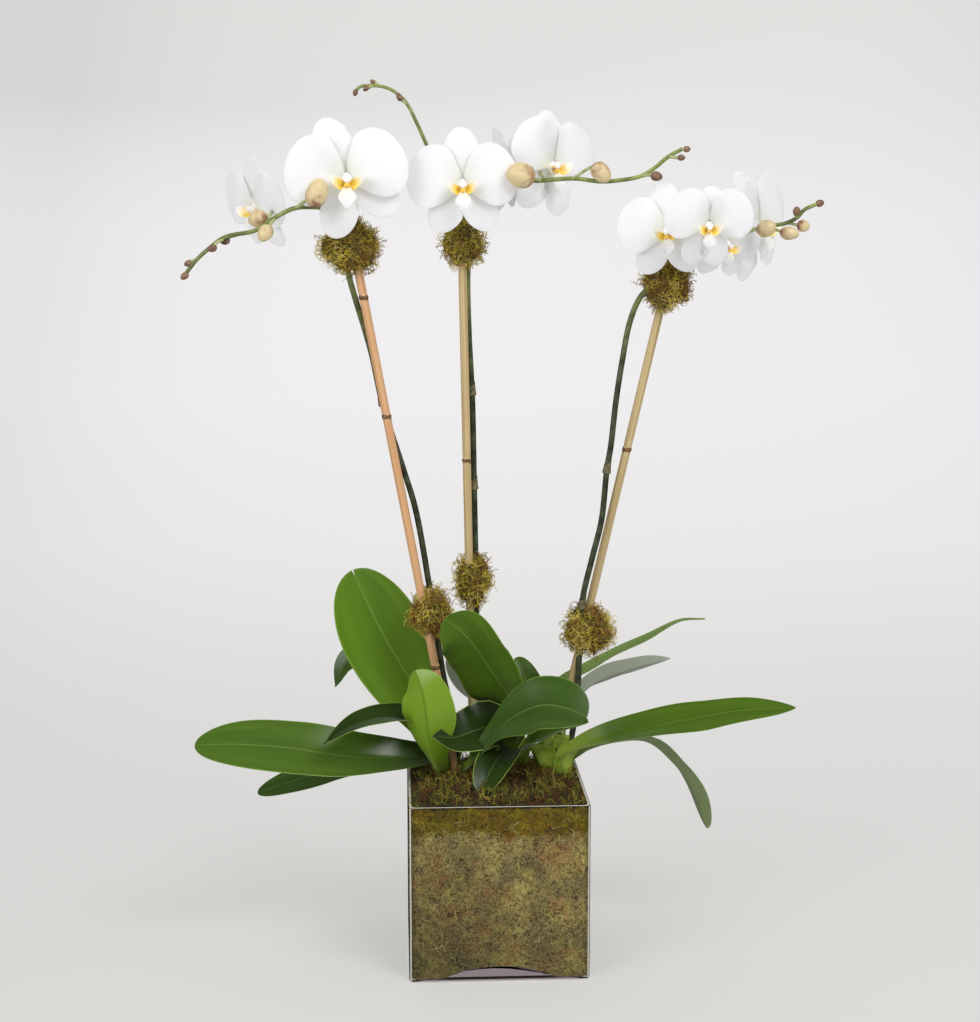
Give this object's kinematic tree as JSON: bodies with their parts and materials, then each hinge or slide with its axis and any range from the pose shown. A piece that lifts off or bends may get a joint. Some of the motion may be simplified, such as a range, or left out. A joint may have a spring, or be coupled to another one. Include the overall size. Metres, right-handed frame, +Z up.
{
  "type": "potted orchid arrangement",
  "caption": "White moth orchids in a square clear glass vase of moss, their flower stems tied to bamboo stakes by moss balls; stands on a table.",
  "frame": {"origin": "middle of the flat underside of the vase", "axes": "+X to the right and -Y to the front of the arrangement, +Z up"},
  "size_m": [0.5264, 0.195, 0.7521],
  "materials": {
    "glass": "clear soda-lime glass, pressed and polished",
    "moss": "dried sheet moss, matte and fibrous",
    "roots": "bark and roots, rough",
    "bamboo": "bamboo cane, smooth skin",
    "stem": "living flower stem, satin",
    "leaf": "living fleshy leaf, waxy gloss",
    "petal": "living white petal, soft and faintly translucent"
  },
  "bodies": {
    "root": {"bloom_centre_back": "petal", "bloom_centre_front": "petal", "bloom_centre_side": "petal", "bloom_left_front": "petal", "bloom_left_side": "petal", "bloom_right_front": "petal", "bloom_right_low": "petal", "bloom_right_outer": "petal", "bloom_right_side": "petal", "crown_centre": "leaf", "crown_left": "leaf", "crown_right": "leaf", "leaf_centre_back": "leaf", "leaf_centre_front": "leaf", "leaf_centre_left": "leaf", "leaf_centre_right": "leaf", "leaf_centre_upright": "leaf", "leaf_left_arching": "leaf", "leaf_left_back": "leaf", "leaf_left_curled": "leaf", "leaf_left_front_long": "leaf", "leaf_left_glossy": "leaf", "leaf_left_low": "leaf", "leaf_left_upright": "leaf", "leaf_right_back": "leaf", "leaf_right_drooping": "leaf", "leaf_right_long": "leaf", "leaf_right_raised": "leaf", "leaf_right_thin": "leaf", "moss_ball_centre_lower": "moss", "moss_ball_centre_upper": "moss", "moss_ball_left_lower": "moss", "moss_ball_left_upper": "moss", "moss_ball_right_lower": "moss", "moss_ball_right_upper": "moss", "moss_lining": "moss", "moss_top": "moss", "root_ball": "roots", "spike_centre": "stem", "spike_left": "stem", "spike_right": "stem", "stake_centre": "bamboo", "stake_left": "bamboo", "stake_right": "bamboo", "vase": "glass"}
  },
  "joints": []
}
